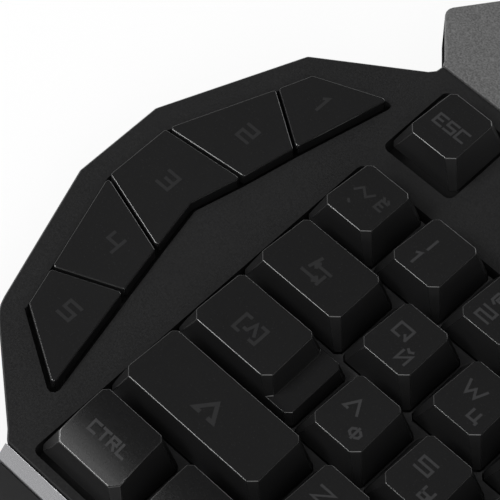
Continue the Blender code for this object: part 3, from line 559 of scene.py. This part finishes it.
def dressed(node, material, width, segments=CASE_STEPS, crowned=False, clamped=True):
    """A copy of a solid with its sharp edges rounded, which stands for the solid."""
    piece = bpy.data.objects.new(f"{node}_moulding", frame["nodes"][node].data.copy())
    link(piece)
    work = bmesh.new()
    work.from_mesh(piece.data)
    bmesh.ops.remove_doubles(work, verts=work.verts, dist=MERGE)
    bmesh.ops.dissolve_limit(work, angle_limit=FLAT_ANGLE, verts=work.verts, edges=work.edges)
    work.normal_update()
    if crowned:
        crown_tops(work)
    if node == "top_case":
        narrow_well(work)
    for face in work.faces:
        face.smooth = True
    work.to_mesh(piece.data)
    work.free()
    edge = piece.modifiers.new("rounded", "BEVEL")
    edge.width = width
    edge.segments = segments
    edge.limit_method = "ANGLE"
    edge.angle_limit = SHARP_ANGLE
    edge.use_clamp_overlap = clamped
    edge.material = 0
    flat = piece.modifiers.new("flat_faces", "WEIGHTED_NORMAL")
    flat.mode = "FACE_AREA"
    flat.weight = FACE_WEIGHT
    piece.data.materials.clear()
    piece.data.materials.append(material)
    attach(piece, body_of(node))
    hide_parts(node)
    return piece


def repaint(piece, material, chosen):
    """Gives another material to the faces whose deck centre and deck normal are chosen."""
    piece.data.materials.append(material)
    for face in piece.data.polygons:
        if chosen(FROM_DECK @ face.center, deck_normal(face)):
            face.material_index = len(piece.data.materials) - 1


def is_top(centre, normal):
    """Tells the top of a key of the grid or of a macro key."""
    return normal.z > TOP_LEVEL and centre.z > MACRO_RISE / 2


def is_front_top(centre, normal):
    """Tells the top of a key of the front row."""
    return is_top(centre, normal) and centre.z > KEY_RISE / 2 and centre.y < FRONT_LIMIT


def is_plate_floor(centre, normal):
    return normal.z > FLOOR_LEVEL and abs(centre.z - PLATE_TOP) < PLATE_BAND


def finish_key(piece, top=LIT_TOP):
    """Gives the tops and the steep sides of keys their own finish, with painted light as a lighter tone on
    the tops and painted shade as a darker tone on the front row's tops; the rounded edges stay glossier.
    """
    repaint(piece, SKIRT, lambda centre, normal: abs(normal.z) < SKIRT_STEEP)
    # Tops get the lighter copy: painted light
    repaint(piece, top, is_top)
    # Front-row tops get the darker copy: painted shade
    repaint(piece, SHADED_FRONT_TOP, is_front_top)


def dress_case():
    for node, material, width in CASE_PIECES:
        piece = dressed(node, material, width)
        if material is SHELL:
            # Upright faces get the darker side plastic: painted shade
            repaint(piece, SHADED_SIDE, lambda centre, normal: normal.z < STEEP)
        if node == "top_case":
            # Well walls that look to the right or to the front get painted light
            repaint(piece, LIT_WELL, is_well)
    hood = dressed("hood_panel", HOOD, HOOD_EDGE)
    # The hood's walls that face the rear get the same painted shade
    repaint(hood, SHADED_SIDE, lambda centre, normal: normal.z < STEEP and normal.y > STEEP)
    guide = dressed("guide_plate", CAP, KEY_EDGE, KEY_STEPS, crowned=True, clamped=False)
    finish_key(guide)
    # The plate floor in the wells gets the same painted light
    repaint(guide, LIT_WELL, is_plate_floor)
    for node, material in INNER_PIECES.items():
        for slot in frame["nodes"][node].material_slots:
            slot.material = material


def dress_keys():
    for key in KEYS:
        node = f"key_{key.name}"
        if node in frame["nodes"]:
            crowned = key.slope == FRONT_SLOPE
            finish_key(dressed(node, CAP, KEY_EDGE, KEY_STEPS, crowned, clamped=False))
    for number in range(1, len(MACRO_NUMBERS) + 1):
        piece = dressed(f"key_macro_{number}", CAP, MACRO_EDGE, KEY_STEPS, clamped=False)
        # Macro tops get their lighter copy: painted light
        finish_key(piece, LIT_MACRO_TOP)


def column(work, outline, low, high):
    """Adds an upright prism over an outline in the deck's frame."""
    rings = []
    for height in (low, high):
        rings.append([work.verts.new(DECK @ Vector((*point, height))) for point in outline])
    for index in range(len(outline)):
        after = (index + 1) % len(outline)
        work.faces.new((rings[0][index], rings[0][after], rings[1][after], rings[1][index]))
    work.faces.new(rings[0][::-1])
    work.faces.new(rings[1])


def skirt_outline(key):
    """Outline of the room that a key's skirt takes, with a small clearance."""
    half_width = key.width / 2 - BASE_SIDE + WEB_CLEARANCE
    half_depth = key.depth / 2 - BASE_END + WEB_CLEARANCE
    corner = BASE_CORNER
    right = [(half_width - corner, -half_depth), (half_width, -half_depth + corner)]
    right += [(half_width, half_depth - corner), (half_width - corner, half_depth)]
    left = [(-x, -y) for x, y in right]
    return [(key.x + x, key.y + y) for x, y in right + left]


def make_web():
    """Web that fills the gaps between the skirts of neighbouring keys, standing on the plate."""
    work = bmesh.new()
    for left, right, front, rear in BLOCKS:
        sides = left * PITCH + WEB_INSET, right * PITCH - WEB_INSET
        ends = front * PITCH + WEB_INSET, rear * PITCH - WEB_INSET
        outline = [(sides[0], ends[0]), (sides[1], ends[0]), (sides[1], ends[1]), (sides[0], ends[1])]
        column(work, outline, PLATE_TOP, WEB_TOP)
    mesh = bpy.data.meshes.new("key_web")
    work.to_mesh(mesh)
    work.free()
    holes = bmesh.new()
    for key in KEYS:
        column(holes, skirt_outline(key), PLATE_TOP - BASE_END, WEB_TOP + BASE_END)
    hole_mesh = bpy.data.meshes.new("key_holes")
    holes.to_mesh(hole_mesh)
    holes.free()
    web = link(bpy.data.objects.new("key_web", mesh))
    cutter = link(bpy.data.objects.new("key_holes", hole_mesh))
    cut = web.modifiers.new("holes", "BOOLEAN")
    cut.operation = "DIFFERENCE"
    cut.object = cutter
    shaped = bpy.data.meshes.new_from_object(web.evaluated_get(bpy.context.evaluated_depsgraph_get()))
    web.modifiers.clear()
    web.data = shaped
    bpy.data.objects.remove(cutter)
    shaped.materials.append(PLATE)
    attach(web, "case")


class Print:
    """Printed strokes on the keys of one body, as thin raised ribbons."""

    def __init__(self, name, body, material=LEGEND):
        self.name = name
        self.body = body
        self.material = material
        self.work = bmesh.new()
        self.count = 0

    def ribbon(self, points, stroke, height):
        """Adds one stroke along points in the deck's plane, on a surface of the given height."""
        points = [Vector(point) for point in points]
        half = stroke / 2
        ways = [(after - before).normalized() for before, after in zip(points, points[1:])]
        points[0] = points[0] - ways[0] * half
        points[-1] = points[-1] + ways[-1] * half
        lift = STROKE_LIFT + self.count % STROKE_LEVELS * STROKE_STEP
        self.count += 1
        rings = []
        for index, point in enumerate(points):
            before, after = ways[max(index - 1, 0)], ways[min(index, len(ways) - 1)]
            across = Vector((-before.y - after.y, before.x + after.x)).normalized()
            reach = half / max(MITRE_SHARE, across.dot(Vector((-after.y, after.x))))
            sides = point + across * reach, point - across * reach
            ring = [(*sides[0], lift), (*sides[1], lift)]
            ring += [(*sides[1], -STROKE_SINK), (*sides[0], -STROKE_SINK)]
            rings.append([self.work.verts.new(DECK @ Vector((x, y, height(y) + z))) for x, y, z in ring])
        for first, second in zip(rings, rings[1:]):
            for side in range(4):
                after = (side + 1) % 4
                self.work.faces.new((first[side], first[after], second[after], second[side]))
        self.work.faces.new(rings[0][::-1])
        self.work.faces.new(rings[-1])

    def draw(self, strokes, box, grid, height, stroke=STROKE):
        """Draws a glyph in a box of left, front, width and height."""
        left, front, width, depth = box
        for text in strokes.split():
            steps = [(int(text[index]), int(text[index + 1])) for index in range(0, len(text), 2)]
            points = [(left + x / grid[0] * width, front + y / grid[1] * depth) for x, y in steps]
            self.ribbon(points, stroke, height)

    def finish(self):
        if self.count:
            bmesh.ops.recalc_face_normals(self.work, faces=self.work.faces)
            mesh = bpy.data.meshes.new(self.name)
            self.work.to_mesh(mesh)
            mesh.materials.append(self.material)
            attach(link(bpy.data.objects.new(self.name, mesh)), self.body)
        self.work.free()


def word_boxes(word):
    """A box for each letter of a word, about the middle of its key."""
    width, height = WORD_LETTER_WIDTHS[len(word)], WORD_HEIGHTS[len(word)]
    left = WORD_MIDDLE[0] - (width * len(word) + WORD_GAP * (len(word) - 1)) / 2
    front = WORD_MIDDLE[1] - height / 2
    return [(left + index * (width + WORD_GAP), front, width, height) for index in range(len(word))]


def key_marks(key):
    """The glyphs of a key: strokes, box about the key's middle, grid and stroke width."""
    name = key.name
    if name in SIGNS:
        strokes, *box = SIGNS[name]
        bold = SIGN_STROKE if name in ("tab", "caps_lock") else BOLD_STROKE
        return [(strokes, box, SIGN_GRID, bold)]
    word = WORDS.get(name) or (name.upper() if name[0] == "f" and name[1:].isdigit() else "")
    if word:
        return [(GLYPHS[letter], box, LETTER_GRID, STROKE) for letter, box in zip(word, word_boxes(word))]
    marks = []
    if len(name) == 1 and name.isalpha():
        marks.append((name.upper(), WIDE_LETTER if name in "wm" else MAIN_LETTER))
    if name in SYMBOL_PAIRS:
        upper, lower = SYMBOL_PAIRS[name]
        marks.append((upper, TILDE if upper == "~" else MAIN_LETTER))
        marks.append((lower, TICK if lower == "`" else LOWER_SYMBOL))
    if name in SECOND_LETTERS:
        marks.append((SECOND_LETTERS[name], SIDE_LETTER if name == "grave" else SECOND_LETTER))
    if name in PAD_SIGNS:
        marks.append((PAD_SIGNS[name], MAIN_LETTER))
    if name.startswith("pad_") and name[4:].isdigit():
        marks.append((name[4:], MAIN_LETTER))
    return [(GLYPHS[letter], box, LETTER_GRID, STROKE) for letter, box in marks]


def print_keys():
    """Prints every key: its own piece on a key that moves, one shared piece on the others."""
    shared = Print("fixed_key_print", "case")
    for key in KEYS:
        node = f"key_{key.name}"
        grey = SIGN if key.name in SIGNS or key.name == "grave" else LEGEND
        own = Print(f"{node}_print", body_of(node), grey) if node in frame["nodes"] else shared
        for strokes, box, grid, stroke in key_marks(key):
            place = (box[0] + key.x, box[1] + key.y, *box[2:])
            own.draw(strokes, place, grid, lambda y, key=key: top_height(key, y), stroke)
        if own is not shared:
            own.finish()
    shared.finish()
    for number, corner in enumerate(MACRO_NUMBERS, 1):
        own = Print(f"key_macro_{number}_print", body_of(f"key_macro_{number}"), NUMBER)
        box = (*corner, *MACRO_NUMBER_SIZE)
        own.draw(GLYPHS[str(number)], box, LETTER_GRID, lambda y: MACRO_RISE, SIGN_STROKE)
        own.finish()


def make_camera():
    data = bpy.data.cameras.new("camera")
    data.lens = CAMERA_LENS
    data.sensor_width = SENSOR
    data.sensor_fit = "HORIZONTAL"
    data.clip_start, data.clip_end = CAMERA_CLIP
    camera = link(bpy.data.objects.new("camera", data))
    turn = Euler(CAMERA_TURN, "XYZ").to_matrix().to_4x4()
    camera.matrix_world = DECK @ Matrix.Translation(CAMERA_PLACE) @ turn
    bpy.context.scene.camera = camera


def make_lights():
    """A softbox at the left front, a dim panel over it, a weak fill on the right and a low rear strip."""
    target = DECK @ Vector(LAMP_TARGET)
    for name, place, width, height, power in LAMPS:
        data = bpy.data.lights.new(name, "AREA")
        data.shape = "RECTANGLE"
        data.size = width
        data.size_y = height
        data.energy = power
        lamp = link(bpy.data.objects.new(name, data))
        lamp.location = DECK @ Vector(place)
        lamp.rotation_euler = (target - lamp.location).to_track_quat("-Z", "Y").to_euler()


def background_rays(nodes, links):
    """Is one for the rays that show the background: from the camera, in reflections and through glass."""
    path = nodes.new("ShaderNodeLightPath")
    shown = path.outputs["Is Camera Ray"]
    for name in ("Is Glossy Ray", "Is Transmission Ray"):
        either = nodes.new("ShaderNodeMath")
        either.operation = "MAXIMUM"
        links.new(shown, either.inputs[0])
        links.new(path.outputs[name], either.inputs[1])
        shown = either.outputs["Value"]
    return shown


def make_world():
    """White background, which shows in reflections too, and a weak even light."""
    world = bpy.data.worlds.new("studio")
    bpy.context.scene.world = world
    world.use_nodes = True
    nodes, links = world.node_tree.nodes, world.node_tree.links
    back = nodes["Background"]
    level = nodes.new("ShaderNodeMix")
    level.inputs["A"].default_value = WORLD_LIGHT
    level.inputs["B"].default_value = WORLD_SEEN
    links.new(background_rays(nodes, links), level.inputs["Factor"])
    links.new(level.outputs["Result"], back.inputs["Strength"])
    back.inputs["Color"].default_value = (1, 1, 1, 1)


def sheet(name, size, height):
    """A flat square of the studio, which isn't part of the object."""
    mesh = bpy.data.meshes.new(name)
    work = bmesh.new()
    bmesh.ops.create_grid(work, x_segments=1, y_segments=1, size=size)
    bmesh.ops.translate(work, vec=(0, 0, height), verts=work.verts)
    work.to_mesh(mesh)
    work.free()
    piece = link(bpy.data.objects.new(name, mesh))
    return piece


def make_ceiling():
    """Dark ceiling, which keeps the tops of the black plastic dark."""
    ceiling = sheet("ceiling", CEILING_REACH, CEILING_HEIGHT)
    ceiling.visible_camera = False
    ceiling.visible_diffuse = False
    ceiling.visible_shadow = False
    material = bpy.data.materials.new("ceiling_cloth")
    material.use_nodes = True
    shader = material.node_tree.nodes["Principled BSDF"]
    shader.inputs["Base Color"].default_value = (CEILING_TONE, CEILING_TONE, CEILING_TONE, 1)
    shader.inputs["Roughness"].default_value = SHEET_ROUGHNESS
    ceiling.data.materials.append(material)


def make_floor():
    """Pale paper, which shows white to the camera and keeps the shadow."""
    floor = sheet("floor", FLOOR_REACH, 0)
    material = bpy.data.materials.new("floor_paper")
    material.use_nodes = True
    nodes, links = material.node_tree.nodes, material.node_tree.links
    shader = nodes["Principled BSDF"]
    shader.inputs["Base Color"].default_value = (FLOOR_TONE, FLOOR_TONE, FLOOR_TONE, 1)
    shader.inputs["Roughness"].default_value = SHEET_ROUGHNESS
    glow = nodes.new("ShaderNodeEmission")
    blend = nodes.new("ShaderNodeMixShader")
    share = nodes.new("ShaderNodeMath")
    share.operation = "MULTIPLY"
    share.inputs[1].default_value = FLOOR_GLOW_SHARE
    links.new(background_rays(nodes, links), share.inputs[0])
    links.new(share.outputs["Value"], blend.inputs["Fac"])
    links.new(shader.outputs["BSDF"], blend.inputs[1])
    links.new(glow.outputs["Emission"], blend.inputs[2])
    links.new(blend.outputs["Shader"], nodes["Material Output"].inputs["Surface"])
    floor.data.materials.append(material)


def main():
    make_camera()
    dress_case()
    dress_keys()
    make_web()
    print_keys()
    make_lights()
    make_world()
    make_ceiling()
    make_floor()
    bpy.context.scene.view_settings.view_transform = "Standard"


main()
